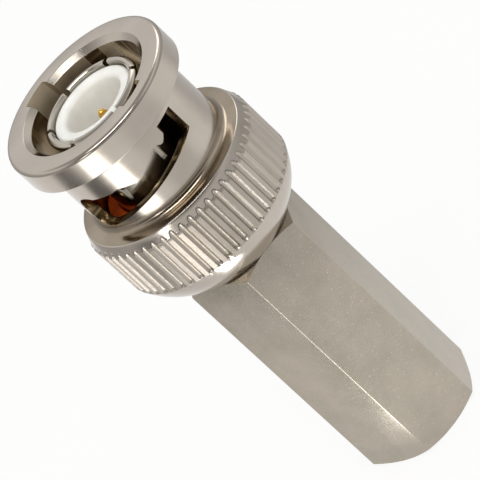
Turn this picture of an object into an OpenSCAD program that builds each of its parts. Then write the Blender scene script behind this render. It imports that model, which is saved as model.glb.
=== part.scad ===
// BNC plug, twist-on, hex cable body: ten pieces in one frame.
// Millimetres. Z is the connector axis; the cable end stands on Z = 0.

/* [Hex body] */
// Width across the flats of the hex body
hex_af = 9.15; // [8:0.05:12]
// Length of the hex body, chamfers included
hex_len = 21.1; // [14:0.1:30]
// Angle of the chamfers that round off the hex corners, from the end face
hex_chamfer_deg = 30; // [15:1:45]
// Radius of the cable bore at the crests of its grip thread
cable_r = 3.1; // [2.4:0.05:3.6]
// Depth of the cable bore
cable_depth = 14.2; // [8:0.1:20]
// Lead-in chamfer at the cable mouth
cable_lead = 0.55; // [0.2:0.05:1]

/* [Front body] */
// Radius of the tail pressed into the hex body
tail_r = 3.45; // [3:0.05:4]
// Radius of the neck the coupling nut turns on
neck_r = 3.75; // [3.2:0.05:4.2]
// Radius of the flange that carries the gasket
flange_r = 4.78; // [4.2:0.02:4.85]
// Height of the flange front face above the cable end
flange_top = 28.1; // [26:0.1:30]
// Thickness of the flange
flange_t = 1; // [0.6:0.1:2]
// Height of the finger tips above the cable end
tip_z = 36.69; // [34:0.01:37.2]
// Outer radius of the fingers along their straight part
finger_r = 3.78; // [3.5:0.01:4]
// Radius of the contact bulge near the finger tips
bulge_r = 4.06; // [3.8:0.01:4.2]
// Radius of the bore inside the fingers
finger_bore_r = 3.42; // [3.2:0.01:3.6]
// Number of slits between the fingers
slit_n = 6; // [3:1:8]
// Width of each slit
slit_w = 0.36; // [0.2:0.02:0.8]
// Length of the slits from the finger tips
slit_len = 6.2; // [3:0.1:8]
// Radius of the small bore behind the fingers
shank_r = 2.6; // [2:0.05:3]

/* [Coupling nut] */
// Overall height of the plug, cable end to the nut front face
total_h = 37.4; // [32:0.1:42]
// Outer radius of the front collar
collar_r = 6.91; // [6.4:0.01:7.2]
// Axial length of the front collar
collar_len = 2.1; // [1:0.1:4]
// Radius of the barrel between collar and grip
barrel_r = 5.65; // [5.55:0.01:6.2]
// Radius of the bore that slides over the mating jack
nut_bore_r = 4.92; // [4.85:0.01:5.1]
// Radius of the knurled grip over its lands
grip_r = 7.32; // [6.6:0.05:8]
// Height of the flat shoulder in front of the grip
shoulder_z = 29.25; // [28:0.05:31]
// Height where the knurl grooves begin
knurl_top = 28.4; // [26:0.1:30]
// Height where the knurl grooves end
knurl_bottom = 24.25; // [23:0.05:26]
// Number of grooves round the grip
knurl_n = 55; // [30:1:80]
// Radius of the round groove cutter
knurl_cut_r = 0.21; // [0.1:0.01:0.4]
// Height of the rear face of the nut
nut_rear = 21.16; // [21.12:0.01:22]
// Radius of the rear face of the nut
nut_rear_r = 4.7; // [4.2:0.05:5.5]
// Radius of the fillet between shoulder and barrel
fillet_r = 0.45; // [0.1:0.05:0.8]

/* [Bayonet] */
// Angle of the first entry channel about the axis
entry_deg = -77.5; // [-180:0.5:180]
// Width of the entry channels, for a 2 mm stud
channel_w = 2.2; // [2.05:0.05:2.6]
// Radius of the channel and cam floor over the studs
channel_r = 5.48; // [5.3:0.01:5.54]
// Front height of the open window where the channel meets it
window_top = 34.3; // [33:0.05:35]
// Height of the cam rear edge at the entry channel
cam_z = 31.78; // [31:0.02:32.5]
// Fall of the cam per degree of turn
cam_slope = 0.0208; // [0.01:0.0002:0.04]
// Width of the cam track that the stud runs in
cam_w = 2.15; // [2.05:0.05:2.6]
// Turn from the entry channel to the locking hole
lock_turn = 88.4; // [70:0.2:100]
// Height of the locking hole
lock_z = 31.47; // [31:0.01:32.5]
// Radius of the locking hole
lock_r = 1.5; // [1.1:0.05:1.6]

/* [Inner parts] */
// Outer radius of the white front insulator
ins_r = 3.36; // [3:0.01:3.5]
// Height of the insulator rim
ins_top = 36.46; // [35:0.01:37]
// Radius of the cup that takes the mating insulator
cup_r = 2.4; // [2.35:0.01:2.6]
// Height of the cup floor
cup_floor = 30.9; // [29:0.1:33]
// Radius of the contact pin
pin_r = 0.675; // [0.6:0.005:0.8]
// Height of the pin tip
pin_top = 35.56; // [34:0.01:36.4]
// Length of the tapered nose of the pin
pin_nose = 1.3; // [0.5:0.1:2]
// Radius of the contact inside the front insulator
pin_shank_r = 1.05; // [0.9:0.01:1.3]
// Radius of the contact collar between the insulators
pin_collar_r = 1.35; // [1.1:0.01:1.6]
// Length of the contact collar
pin_collar_len = 1; // [0.5:0.1:2]
// Height of the rear end of the contact
socket_z = 17.4; // [16.5:0.1:20]
// Outer radius of the conductor socket
socket_out_r = 0.95; // [0.8:0.01:1.05]
// Bore radius of the conductor socket
socket_r = 0.48; // [0.4:0.01:0.6]
// Depth of the conductor socket
socket_depth = 4.2; // [3:0.1:6]
// Width of the slot across the conductor socket
socket_slot_w = 0.24; // [0.1:0.02:0.4]
// Outer radius of the gasket
gasket_r = 4.8; // [4.3:0.02:4.86]
// Free height of the gasket
gasket_h = 1.05; // [0.6:0.05:1.6]
// Thickness of the flat washers
washer_t = 0.3; // [0.2:0.02:0.5]
// Free height of the wave washer
wave_h = 1.3; // [0.8:0.05:1.8]
// Strip thickness of the wave washer
wave_t = 0.25; // [0.15:0.01:0.4]

/* [Hidden] */
$fn = 72;
eps = 0.01;
run_fit = 0.06;
seat_fit = 0.03;
face_gap = 0.02;
bore_fit = 0.05;
hex_r = hex_af / 2 / cos(30);
chamfer_h = (hex_r - hex_af / 2) * tan(hex_chamfer_deg);
tail_z = cable_depth + 0.3;
flange_z = flange_top - flange_t;
washer_top = flange_z - face_gap;
wave_top = washer_top - washer_t - face_gap;
wave_z = wave_top - wave_h;
rear_washer_z = wave_z - face_gap - washer_t;
ledge_z = rear_washer_z - face_gap;
ins_step = flange_top + 0.35;
ins_end = 25.1;
collar_bottom = ins_end - pin_collar_len / 2;
rear_flare = pin_collar_r + 0.8;
rear_ins_z = 16.2;
collar_z = total_h - collar_len;
nut_hub_r = neck_r + run_fit;
cam_end = -lock_turn;
entry_half = 13;

function cam_rear(a) = cam_z + cam_slope * a;
function cam_front(a) = cam_rear(a) + cam_w;
// front edge of the open window: square at the channel, a ragged lip, then the run to the lock
function window_front(a) = lookup(a, [
    [-90, 32.9], [-57, 32.93], [-50, 32.7], [-42, 32.5], [-36.5, 32.63], [-30, 32.94],
    [-23.1, 33.27], [-16.2, 33.5], [-9.9, 33.2], [-5, 33.6], [0, 33.9]]);

// prism through one side of the barrel: marks are angles, low and high the edge heights there
module wall_cut(marks, low, high) {
    mid = (marks[0] + marks[len(marks) - 1]) / 2;
    n = len(marks) - 1;
    rotate([0, 0, mid])
        rotate([90, 0, 90])
            linear_extrude(barrel_r + 1.2)
                polygon(concat([for (i = [0 : n]) [barrel_r * sin(marks[i] - mid), low[i]]],
                               [for (i = [n : -1 : 0]) [barrel_r * sin(marks[i] - mid), high[i]]]));
}

// open window between the cam edge and the ragged front lip; each part runs a hair deeper
module window_part(marks, deeper, cap = 40) {
    wall_cut(marks, [for (a = marks) cam_rear(a) - deeper], [for (a = marks) min(cap, window_front(a))]);
}

module window_cut() {
    wall_cut([-5, entry_half], [cam_rear(-5), cam_rear(entry_half)], [window_top, window_top]);
    window_part([-42.1, -36.5, -30, -23.1, -16.2, -9.9, -5, -4.7], 0.02, 33.6);
    window_part([-64, -57, -50, -41.9], 0.04);
    window_part([-84, -76, -63], 0.06, 32.8);
    rotate([0, 0, cam_end])
        translate([0, 0, lock_z])
            rotate([0, 90, 0])
                cylinder(h = barrel_r + 1.2, r = lock_r);
}

// channel and track that the stud runs in, under the thin skin of the barrel
module stud_path() intersection() {
    union() {
        translate([0, -channel_w / 2, cam_z + 0.6])
            cube([channel_r + 1, channel_w, total_h]);
        wall_cut([-52, -38, -25, -12, 2], [for (a = [-52, -38, -25, -12, 2]) cam_rear(a) + 0.9],
                 [for (a = [-52, -38, -25, -12, 2]) cam_front(a)]);
    }
    cylinder(h = total_h + 1, r = channel_r);
}

// wider mouth of the channel on the front face
module channel_lead() {
    translate([0, 0, total_h - 0.55])
        rotate([90, 0, 0])
            linear_extrude(channel_w + 0.3, center = true)
                polygon([[3, 0], [channel_r - 0.05, 0], [channel_r + 0.42, 0.56], [3, 0.56]]);
}

module hex_body() color([0.72, 0.70, 0.66]) difference() {
    intersection() {
        cylinder(h = hex_len, r = hex_r, $fn = 6);
        rotate_extrude()
            polygon([[0, 0], [hex_af / 2, 0], [hex_r, chamfer_h], [hex_r, hex_len - chamfer_h],
                     [hex_af / 2, hex_len], [0, hex_len]]);
    }
    translate([0, 0, -eps])
        cylinder(h = cable_depth + eps, r = cable_r);
    translate([0, 0, -eps])
        cylinder(h = cable_lead + eps, r1 = cable_r + cable_lead, r2 = cable_r);
    translate([0, 0, cable_depth - 0.5])
        cylinder(h = hex_len, r = tail_r + seat_fit);
}

module outer_contact() color([0.76, 0.74, 0.70]) difference() {
    rotate_extrude()
        polygon([[shank_r, tail_z], [tail_r - 0.2, tail_z], [tail_r, tail_z + 0.3],
                 [tail_r, hex_len - 0.4], [neck_r - 0.3, hex_len + face_gap],
                 [neck_r, hex_len + 0.05], [neck_r, flange_z], [flange_r, flange_z],
                 [flange_r, flange_top - 0.1], [flange_r - 0.1, flange_top],
                 [finger_r + 0.05, flange_top], [finger_r, flange_top + 0.3],
                 [finger_r - 0.02, tip_z - 1.6], [finger_r + 0.06, tip_z - 1.05],
                 [bulge_r - 0.06, tip_z - 0.6], [bulge_r, tip_z - 0.4], [bulge_r - 0.06, tip_z - 0.2],
                 [finger_r + 0.02, tip_z - 0.03], [finger_r - 0.05, tip_z],
                 [finger_bore_r + 0.12, tip_z], [finger_bore_r, tip_z - 0.12],
                 [finger_bore_r, ins_step], [shank_r, ins_step]]);
    for (i = [0 : slit_n - 1])
        rotate([0, 0, 30 + i * 360 / slit_n])
            translate([2, -slit_w / 2, tip_z - slit_len])
                cube([4, slit_w, slit_len + 1]);
}

// point on the domed rear of the nut, from its rear face (0) to the grip (1)
function dome(f) = [nut_rear_r + (grip_r - nut_rear_r) * f,
                    nut_rear + (knurl_bottom - nut_rear) * (0.65 * f + 0.35 * pow(f, 4))];
// point on the concave fillet, from the shoulder (0) to the barrel (1)
function fillet(f) = [barrel_r + fillet_r * (1 - sin(90 * f)), shoulder_z + 1.45 * fillet_r * (1 - cos(90 * f))];

module nut_blank() rotate_extrude()
    polygon([[nut_hub_r, nut_rear + 0.2], [nut_hub_r + 0.2, nut_rear],
             each [for (f = [0 : 0.125 : 1]) dome(f)],
             [grip_r, knurl_top - 0.06], [grip_r - 0.05, knurl_top],
             [collar_r, shoulder_z - 0.08], [collar_r - 0.08, shoulder_z],
             each [for (f = [0 : 0.2 : 1]) fillet(f)],
             [barrel_r, collar_z], [collar_r - 0.1, collar_z], [collar_r, collar_z + 0.1],
             [collar_r, total_h - 0.3], [collar_r - 0.05, total_h - 0.14],
             [collar_r - 0.16, total_h - 0.04], [collar_r - 0.3, total_h],
             [5.2, total_h], [nut_bore_r, total_h - 0.28], [nut_bore_r, ledge_z],
             [nut_hub_r, ledge_z]]);

module coupling_nut() color([0.78, 0.76, 0.72]) difference() {
    nut_blank();
    for (i = [0 : knurl_n - 1])
        rotate([0, 0, 0.8 + i * 360 / knurl_n])
            translate([grip_r - 0.005, 0, knurl_bottom - 0.1])
                cylinder(h = knurl_top - knurl_bottom + 1.2, r = knurl_cut_r, $fn = 16);
    for (k = [0 : 1])
        rotate([0, 0, entry_deg + 180 * k]) {
            channel_lead();
            stud_path();
            difference() {
                window_cut();
                // thin tongue of wall left hanging in the window
                rotate([0, 0, -17])
                    translate([channel_r - 0.04, -0.19, 32.3])
                        cube([0.5, 0.38, 1.5]);
            }
        }
}

module front_insulator() color([0.95, 0.95, 0.93]) difference() {
    rotate_extrude()
        polygon([[0, ins_end], [shank_r - bore_fit, ins_end], [shank_r - bore_fit, ins_step + seat_fit],
                 [ins_r, ins_step + seat_fit], [ins_r, ins_top - 0.3], [ins_r - 0.08, ins_top - 0.1],
                 [ins_r - 0.28, ins_top], [cup_r + 0.35, ins_top], [cup_r + 0.1, ins_top - 0.12],
                 [cup_r, ins_top - 0.4], [cup_r, cup_floor], [0, cup_floor]]);
    translate([0, 0, ins_end - eps])
        cylinder(h = cup_floor, r = pin_shank_r + seat_fit);
    translate([0, 0, ins_end - eps])
        cylinder(h = pin_collar_len / 2 + 0.05 + eps, r = pin_collar_r + seat_fit);
}

module rear_insulator() color([0.94, 0.94, 0.92]) difference() {
    translate([0, 0, rear_ins_z])
        cylinder(h = ins_end - face_gap - rear_ins_z, r = shank_r - bore_fit);
    translate([0, 0, rear_ins_z - eps])
        cylinder(h = ins_end - rear_ins_z, r = socket_out_r + seat_fit);
    translate([0, 0, rear_ins_z - eps])
        cylinder(h = rear_flare / 2, r1 = rear_flare, r2 = socket_out_r + seat_fit);
    translate([0, 0, collar_bottom - 0.05])
        cylinder(h = pin_collar_len, r = pin_collar_r + seat_fit);
}

module center_contact() color([0.86, 0.66, 0.28]) difference() {
    rotate_extrude()
        polygon([[0, socket_z], [socket_out_r - 0.1, socket_z], [socket_out_r, socket_z + 0.15],
                 [socket_out_r, collar_bottom], [pin_collar_r, collar_bottom],
                 [pin_collar_r, collar_bottom + pin_collar_len],
                 [pin_shank_r, collar_bottom + pin_collar_len], [pin_shank_r, cup_floor],
                 [pin_r, cup_floor], [pin_r, pin_top - pin_nose],
                 [0.83 * pin_r, pin_top - 0.6 * pin_nose], [0.6 * pin_r, pin_top - 0.23 * pin_nose],
                 [0.45 * pin_r, pin_top - 0.06 * pin_nose], [0.33 * pin_r, pin_top], [0, pin_top]]);
    translate([0, 0, socket_z - eps])
        cylinder(h = socket_depth, r = socket_r);
    translate([0, 0, socket_z - eps])
        cylinder(h = 0.3 + eps, r1 = socket_r + 0.3, r2 = socket_r);
    translate([-1.5 * socket_out_r, -socket_slot_w / 2, socket_z - eps])
        cube([3 * socket_out_r, socket_slot_w, 0.8 * socket_depth]);
    // small centre mark left by turning
    translate([0, 0, pin_top - 0.08])
        cylinder(h = 0.1, r1 = 0.03, r2 = 0.1, $fn = 24);
}

module gasket() color([0.66, 0.20, 0.06]) rotate_extrude()
    polygon([[finger_r + 0.1, flange_top + face_gap], [gasket_r, flange_top + face_gap],
             [gasket_r, flange_top + gasket_h - 0.15], [gasket_r - 0.15, flange_top + gasket_h],
             [finger_r + 0.2, flange_top + gasket_h], [finger_r + 0.1, flange_top + gasket_h - 0.1]]);

module flat_washer(z) translate([0, 0, z]) difference() {
    cylinder(h = washer_t, r = nut_bore_r - 0.08);
    translate([0, 0, -eps])
        cylinder(h = washer_t + 2 * eps, r = neck_r + 0.05);
}

module front_washer() color([0.80, 0.78, 0.74]) flat_washer(washer_top - washer_t);

module rear_washer() color([0.80, 0.78, 0.74]) flat_washer(rear_washer_z);

// three-wave spring ring
module wave_washer() color([0.66, 0.66, 0.64]) {
    n = 72;
    r_in = neck_r + 0.09;
    r_out = nut_bore_r - 0.14;
    mid = (wave_h - wave_t) / 2;
    pts = [for (i = [0 : n - 1]) let (a = i * 360 / n, z = wave_z + mid * (1 + cos(3 * a)))
        each [[r_in * cos(a), r_in * sin(a), z], [r_out * cos(a), r_out * sin(a), z],
              [r_out * cos(a), r_out * sin(a), z + wave_t], [r_in * cos(a), r_in * sin(a), z + wave_t]]];
    sides = [for (i = [0 : n - 1]) let (p = 4 * i, q = 4 * ((i + 1) % n))
        for (k = [0 : 3]) let (m = (k + 1) % 4)
            each [[p + k, p + m, q + m], [p + k, q + m, q + k]]];
    polyhedron(points = pts, faces = sides);
}

hex_body();
outer_contact();
coupling_nut();
front_insulator();
rear_insulator();
center_contact();
gasket();
front_washer();
wave_washer();
rear_washer();
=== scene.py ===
# %% [markdown]
# # A twist-on BNC plug
#
# The plug is a turned and plated coaxial connector. A hexagonal body takes the cable, a knurled
# bayonet nut turns on its neck, and a slotted shell with a white insulator and a gold pin sits
# inside the nut. The engineering model arrives as a fixed frame; this file dresses it with
# smooth metal, plastic and rubber, and sets the light and the camera.
#
# Z is the axis of the plug, with the cable end on Z = 0. Lengths are in millimetres, and they are
# scaled to metres when a mesh is made.

import math

import bmesh
import bpy
from mathutils import Matrix, Vector


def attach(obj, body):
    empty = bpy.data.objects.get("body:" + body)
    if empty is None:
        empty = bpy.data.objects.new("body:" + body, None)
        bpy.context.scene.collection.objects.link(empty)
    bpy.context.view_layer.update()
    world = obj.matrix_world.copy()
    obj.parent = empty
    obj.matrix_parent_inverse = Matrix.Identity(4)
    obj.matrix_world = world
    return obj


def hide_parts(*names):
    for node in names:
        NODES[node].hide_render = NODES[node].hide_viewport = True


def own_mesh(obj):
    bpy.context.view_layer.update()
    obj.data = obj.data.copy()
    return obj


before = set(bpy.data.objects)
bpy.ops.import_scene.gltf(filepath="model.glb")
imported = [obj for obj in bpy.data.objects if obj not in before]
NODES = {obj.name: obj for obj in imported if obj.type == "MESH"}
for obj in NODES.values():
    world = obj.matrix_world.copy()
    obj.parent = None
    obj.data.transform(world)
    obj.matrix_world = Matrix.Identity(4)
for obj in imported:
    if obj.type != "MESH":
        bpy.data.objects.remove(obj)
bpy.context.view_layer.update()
MM = 0.001
TAU = 2 * math.pi

# %% [markdown]
# ## Colours and a way to write materials
#
# Colours are easier to judge as sRGB hex values, but shaders work in linear light, so one
# function converts them. A second one adds a shader node together with its settings and its
# links, which keeps each material short enough to read as a recipe.


# %% Colours
def linear(hex_code):
    """sRGB hex to a linear RGBA tuple."""
    parts = [int(hex_code[i : i + 2], 16) / 255 for i in (0, 2, 4)]
    return tuple(c / 12.92 if c <= 0.04045 else ((c + 0.055) / 1.055) ** 2.4 for c in parts) + (1.0,)


def grey(value):
    """Linear grey."""
    return (value, value, value, 1.0)


print("mid grey", linear("808080")[0])


# %% Shader nodes
def node(tree, kind, inputs=None, **settings):
    """Adds a node; inputs maps a socket name or number to a value or to another node's socket."""
    made = tree.nodes.new(kind)
    for name, value in settings.items():
        setattr(made, name, value)
    for key, value in (inputs or {}).items():
        socket = made.inputs[key]
        if isinstance(value, bpy.types.NodeSocket):
            tree.links.new(value, socket)
        else:
            socket.default_value = value
    return made


def ramp(tree, factor, stops):
    """Colour ramp fed by factor, with stops as (position, colour)."""
    made = node(tree, "ShaderNodeValToRGB", {"Fac": factor})
    points = made.color_ramp.elements
    while len(points) < len(stops):
        points.new(0.5)
    for point, (position, colour) in zip(points, stops):
        point.position = position
        point.color = colour
    return made.outputs["Color"]


def new_material(name):
    """An empty node material and its tree."""
    made = bpy.data.materials.new(name)
    made.use_nodes = True
    made.node_tree.nodes.clear()
    return made, made.node_tree


# %% Surface and noise
def finish_surface(tree, shader_inputs, height, height_mm):
    """Principled surface with a bump whose height is given in millimetres."""
    bump = node(tree, "ShaderNodeBump", {"Strength": 1.0, "Distance": height_mm * MM, "Height": height})
    shader = node(tree, "ShaderNodeBsdfPrincipled", dict(shader_inputs, Normal=bump.outputs["Normal"]))
    node(tree, "ShaderNodeOutputMaterial", {"Surface": shader.outputs["BSDF"]})


def noise_of(tree, feature_mm, detail=3.0, roughness=0.55, stretch=(1, 1, 1)):
    """Noise whose lumps are about feature_mm wide; a stretch under 1 draws them out along that axis."""
    coords = node(tree, "ShaderNodeTexCoord")
    scaled = node(tree, "ShaderNodeMapping", {"Vector": coords.outputs["Object"], "Scale": stretch})
    settings = {
        "Vector": scaled.outputs["Vector"],
        "Scale": 1 / (feature_mm * MM),
        "Detail": detail,
        "Roughness": roughness,
    }
    return node(tree, "ShaderNodeTexNoise", settings).outputs["Fac"]


# %% [markdown]
# ## Nickel plate
#
# All the large pieces are brass under nickel plate, which is a warm grey metal. Plate copies what
# lies below it, so one recipe serves every surface with different numbers. Turned surfaces are
# nearly bright, with rings round the axis from the tool. Drawn bar has a slightly pitted skin, so
# the flats of the hexagon look satin and mottled, with painted highlights: pale specks painted into
# the colour where a pit would catch the light. The knurl is crushed metal and duller. Inside the
# nut the plate is thin and brownish, because little current reaches a deep bore. Behind the windows
# it is painted darker as shade, and the step at the shoulder is painted darker as a dark reflection.
# The pits and rings are drawn coarser than real ones, which would be too fine to show.

# %% Nickel recipe
CLOUD_MM, RING_MM = 3.0, 0.12
PAINTED_GLINT_COLOUR = "F6F3EC"


def nickel(name, tint, dark_tint, rough, spread, pit_mm, pit_depth_mm, ring_depth_mm, glint=0.0):
    """Plate between two tints: rough varies by spread in clouds, and glint is how bright the painted
    highlight specks are.
    """
    made, tree = new_material(name)
    cloud = noise_of(tree, CLOUD_MM, 4.0)
    grain = noise_of(tree, pit_mm, 2.0, 0.6)
    plain = ramp(tree, cloud, [(0.3, linear(dark_tint)), (0.65, linear(tint))])
    # painted highlights: pale specks of the glint colour mixed into the plate where the grain peaks
    painted_glint_specks = ramp(tree, grain, [(0.67, grey(0.0)), (0.74, grey(glint))])
    colour = node(tree, "ShaderNodeMix", {0: painted_glint_specks, 6: plain, 7: linear(PAINTED_GLINT_COLOUR)}, data_type="RGBA")
    roughness = ramp(tree, cloud, [(0.3, grey(rough - spread)), (0.7, grey(rough + spread))])
    pits = ramp(tree, grain, [(0.30, grey(0.0)), (0.46, grey(1.0))])
    # the tool's rings change only along the axis, so the noise is drawn out across it
    rings = noise_of(tree, RING_MM, 2.0, 0.6, (0.02, 0.02, 1.0))
    weights = {0: rings, 1: ring_depth_mm / pit_depth_mm, 2: pits}
    relief = node(tree, "ShaderNodeMath", weights, operation="MULTIPLY_ADD")
    surface = {"Base Color": colour.outputs[2], "Metallic": 1.0, "Roughness": roughness}
    finish_surface(tree, surface, relief.outputs[0], pit_depth_mm)
    return made


# %% Nickel finishes
NUT_NICKEL = nickel("nickel_plate_turned", "C1B8AD", "B7AEA2", 0.17, 0.04, 0.10, 0.0006, 0.0010)
# the hex flats carry painted highlight specks at 0.7
HEX_NICKEL = nickel("nickel_plate_drawn_bar", "BCB2A4", "ABA495", 0.34, 0.05, 0.11, 0.0075, 0.0004, 0.7)
KNURL_NICKEL = nickel("nickel_plate_knurled", "C1B8AD", "B3AA9D", 0.34, 0.06, 0.08, 0.0050, 0.0006)
SHELL_NICKEL = nickel("nickel_plate_shell", "BFB8AC", "B4ACA0", 0.16, 0.04, 0.08, 0.0004, 0.0008)
BORE_NICKEL = nickel("nickel_plate_thin_in_bore", "D6C9B2", "C6B89F", 0.44, 0.05, 0.10, 0.0008, 0.0014)
# painted shade: a darker copy of the plate for the bore and window walls behind the windows
BORE_PAINTED_SHADE_NICKEL = nickel("nickel_plate_bore_painted_shade", "9A8668", "877455", 0.20, 0.04, 0.10, 0.0008, 0.0014)
# painted dark reflection: a darker copy of the plate for the fillet and flat at the shoulder
STEP_PAINTED_DARK_NICKEL = nickel("nickel_plate_step_painted_dark_reflection", "A39685", "8D806E", 0.16, 0.04, 0.10, 0.0006, 0.0010)
print("nickel finishes", NUT_NICKEL.name, HEX_NICKEL.name, SHELL_NICKEL.name)

# %% [markdown]
# ## White fluoropolymer
#
# The insulators are machined from white fluoropolymer rod. It is waxy and lets a little light in,
# which softens its shadows, so some of the light scatters below the surface. Its refractive index
# is low for a plastic. A faint unevenness stands for the marks of the cutter.


# %% Insulator plastic
def white_fluoropolymer():
    """Machined white fluoropolymer: waxy and slightly see-through."""
    made, tree = new_material("fluoropolymer_machined")
    cloud = noise_of(tree, 1.6, 3.0)
    cutter_marks = noise_of(tree, 0.15, 2.0, 0.6)
    surface = {
        "Base Color": ramp(tree, cloud, [(0.35, linear("ECECE6")), (0.65, linear("F6F6F3"))]),
        "Roughness": 0.42,
        "IOR": 1.36,
        "Subsurface Weight": 0.35,
        "Subsurface Radius": (1.0, 1.0, 1.0),
        "Subsurface Scale": 0.6 * MM,
    }
    finish_surface(tree, surface, cutter_marks, 0.003)
    return made


POLYMER = white_fluoropolymer()
print("insulator finish", POLYMER.name)

# %% [markdown]
# ## Gold plate
#
# The pin is turned brass under hard gold, so that it stays clean where it makes contact. Gold is
# a metal, so all its colour is in the reflection, and fine turning rings keep it from looking
# like a mirror.


# %% Pin gold
def gold_plate():
    """Hard gold over a turned pin: yellow and bright, with fine rings."""
    made, tree = new_material("gold_plate_hard")
    cloud = noise_of(tree, 0.6, 3.0)
    colour = ramp(tree, cloud, [(0.3, linear("D9A441")), (0.7, linear("EFC26A"))])
    rings = noise_of(tree, 0.06, 2.0, 0.6, (0.05, 0.05, 1.0))
    finish_surface(tree, {"Base Color": colour, "Metallic": 1.0, "Roughness": 0.24}, rings, 0.0012)
    return made


GOLD = gold_plate()
print("pin finish", GOLD.name)

# %% [markdown]
# ## Silicone rubber
#
# The gasket is moulded orange-red silicone. The mould leaves a dull skin, and the colour is even,
# so only a slow cloud and a very fine bump are needed.


# %% Gasket rubber
def silicone():
    """Moulded silicone rubber: orange-red, with a dull skin."""
    made, tree = new_material("silicone_moulded")
    cloud = noise_of(tree, 0.8, 4.0)
    colour = ramp(tree, cloud, [(0.3, linear("E2540A")), (0.7, linear("F86A18"))])
    skin = noise_of(tree, 0.05, 2.0)
    finish_surface(tree, {"Base Color": colour, "Roughness": 0.46, "IOR": 1.41}, skin, 0.002)
    return made


SILICONE = silicone()
print("gasket finish", SILICONE.name)

# %% [markdown]
# ## Spring steel
#
# The wave washer is stamped from rolled strip and left unplated. Rolling leaves fine lines along
# the strip, which the eye reads as a grey brushed metal.


# %% Spring strip
def spring_strip():
    """Rolled spring strip: grey steel with lines along the rolling direction."""
    made, tree = new_material("spring_steel_rolled")
    lines = noise_of(tree, 0.08, 2.0, 0.6, (1.0, 0.05, 1.0))
    colour = ramp(tree, lines, [(0.3, linear("8E8D8A")), (0.7, linear("A9A8A4"))])
    finish_surface(tree, {"Base Color": colour, "Metallic": 1.0, "Roughness": 0.3}, lines, 0.001)
    return made


SPRING = spring_strip()
print("spring finish", SPRING.name)

# %% [markdown]
# ## Turned shapes
#
# Nearly every piece here came off a lathe, so each one is a cross-section spun round the Z axis.
# A Screw modifier could spin a curve as well, but building the mesh directly lets the knurl and
# the thread change the radius as the section turns. The corners of the section are rounded first,
# because a real edge is never perfectly sharp, and the thin bright line along it is what makes
# metal look like metal.


# %% Rounded sections
def rounded(points, radii, steps=4):
    """Closed section with each corner replaced by an arc of the given radius (0 keeps it sharp)."""
    out = []
    count = len(points)
    for i, (corner, radius) in enumerate(zip(points, radii)):
        here = Vector(corner)
        before = Vector(points[i - 1]) - here
        after = Vector(points[(i + 1) % count]) - here
        if radius <= 0:
            out.append(tuple(here))
            continue
        half = before.angle(after) / 2
        reach = min(radius / math.tan(half), 0.48 * before.length, 0.48 * after.length)
        radius = reach * math.tan(half)
        start = here + before.normalized() * reach
        end = here + after.normalized() * reach
        centre = here + (before.normalized() + after.normalized()).normalized() * (radius / math.sin(half))
        for k in range(steps + 1):
            spoke = (start - centre).lerp(end - centre, k / steps).normalized() * radius
            out.append(tuple(centre + spoke))
    return out


# %% Mesh and lathe
def mesh_object(name, verts, faces):
    """Object from corners in millimetres, with doubled corners merged and faces turned outward."""
    data = bpy.data.meshes.new(name)
    data.from_pydata([tuple(c * MM for c in v) for v in verts], [], faces)
    data.validate()
    made = bpy.data.objects.new(name, data)
    bpy.context.scene.collection.objects.link(made)
    work = bmesh.new()
    work.from_mesh(data)
    bmesh.ops.remove_doubles(work, verts=work.verts, dist=1e-8)
    bmesh.ops.recalc_face_normals(work, faces=work.faces)
    work.to_mesh(data)
    work.free()
    return made


def lathe(name, section, columns, closed=True):
    """Spins a section of (radius, height) round Z. A radius of 0 closes the shape on the axis."""
    verts, faces, rows = [], [], []
    for radius, height in section:
        if radius < 1e-6:
            rows.append([len(verts)] * columns)
            verts.append((0, 0, height))
            continue
        rows.append([len(verts) + c for c in range(columns)])
        for c in range(columns):
            angle = TAU * c / columns
            verts.append((radius * math.cos(angle), radius * math.sin(angle), height))
    pairs = list(zip(rows, rows[1:])) + ([(rows[-1], rows[0])] if closed else [])
    for low, high in pairs:
        for c in range(columns):
            d = (c + 1) % columns
            ring = list(dict.fromkeys((low[c], low[d], high[d], high[c])))
            if len(ring) > 2:
                faces.append(ring)
    return mesh_object(name, verts, faces)


# %% Shading, modifiers and cuts
def shade(obj, material, sharp_deg=34):
    """Smooth shading up to sharp_deg, with one material."""
    obj.data.materials.clear()
    obj.data.materials.append(material)
    for face in obj.data.polygons:
        face.use_smooth = True
    obj.data.set_sharp_from_angle(angle=math.radians(sharp_deg))
    return obj


def run_modifier(obj, kind, **settings):
    """Adds a modifier and applies it at once."""
    made = obj.modifiers.new(kind.lower(), kind)
    for name, value in settings.items():
        setattr(made, name, value)
    with bpy.context.temp_override(object=obj, active_object=obj, selected_objects=[obj]):
        bpy.ops.object.modifier_apply(modifier=made.name)
    return obj


def cut(obj, cutters):
    """Subtracts each cutter and deletes it."""
    for cutter in cutters:
        run_modifier(obj, "BOOLEAN", operation="DIFFERENCE", solver="EXACT", object=cutter)
        bpy.data.objects.remove(cutter)
    return obj


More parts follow.
